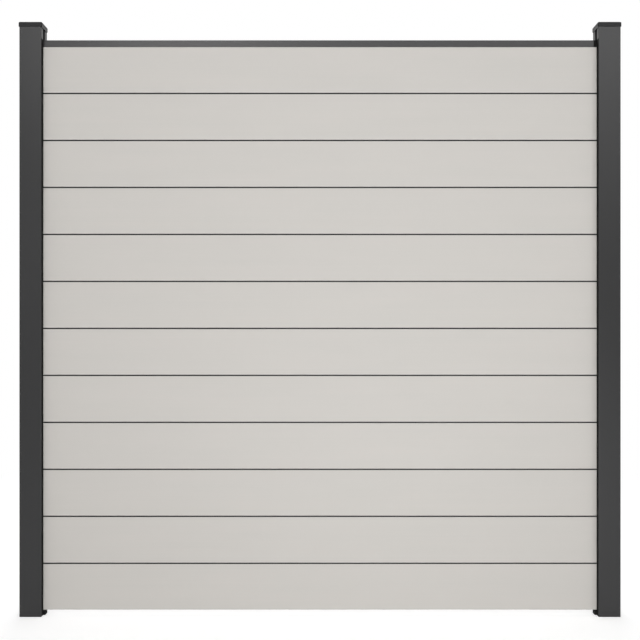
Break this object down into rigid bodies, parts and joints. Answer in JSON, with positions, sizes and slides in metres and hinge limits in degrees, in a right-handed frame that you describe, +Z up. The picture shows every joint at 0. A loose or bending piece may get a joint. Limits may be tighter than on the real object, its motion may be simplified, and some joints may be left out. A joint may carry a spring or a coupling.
{
  "type": "garden privacy screen",
  "caption": "Slot-in garden privacy screen: stacked pale composite boards held between two dark grooved aluminium posts with flat caps, rubber seals and a slim dark top rail.",
  "frame": {"origin": "on the ground, midway between the posts and in the middle of the screen's thickness", "axes": "+X along the screen to the right as seen from the front, +Y from the front to the back, +Z up"},
  "size_m": [1.9112, 0.0752, 1.886],
  "materials": {
    "board_composite": "pale warm grey co-extruded composite, smooth with a satin sheen",
    "powder_coat": "anthracite powder coat on aluminium, fine texture, satin",
    "cap_plastic": "dark grey moulded plastic, satin",
    "seal_rubber": "black extruded rubber, matte",
    "black_plastic": "black moulded plastic, matte",
    "mill_aluminium": "bare extruded aluminium",
    "screw_steel": "plain stainless steel"
  },
  "bodies": {
    "root": {"board_01": "board_composite", "board_02": "board_composite", "board_03": "board_composite", "board_04": "board_composite", "board_05": "board_composite", "board_06": "board_composite", "board_07": "board_composite", "board_08": "board_composite", "board_09": "board_composite", "board_10": "board_composite", "board_11": "board_composite", "board_12": "board_composite", "top_rail": "powder_coat", "bottom_stiffener": "mill_aluminium", "left_post": "powder_coat", "left_post_cap": "cap_plastic", "left_cover_strip": "powder_coat", "left_front_seal": "seal_rubber", "left_rear_seal": "seal_rubber", "left_rail_plug": "black_plastic", "left_bottom_spacer": "black_plastic", "right_post": "powder_coat", "right_post_cap": "cap_plastic", "right_cover_strip": "powder_coat", "right_front_seal": "seal_rubber", "right_rear_seal": "seal_rubber", "right_rail_plug": "black_plastic", "right_bottom_spacer": "black_plastic", "spacer_screws": "screw_steel"}
  },
  "joints": []
}
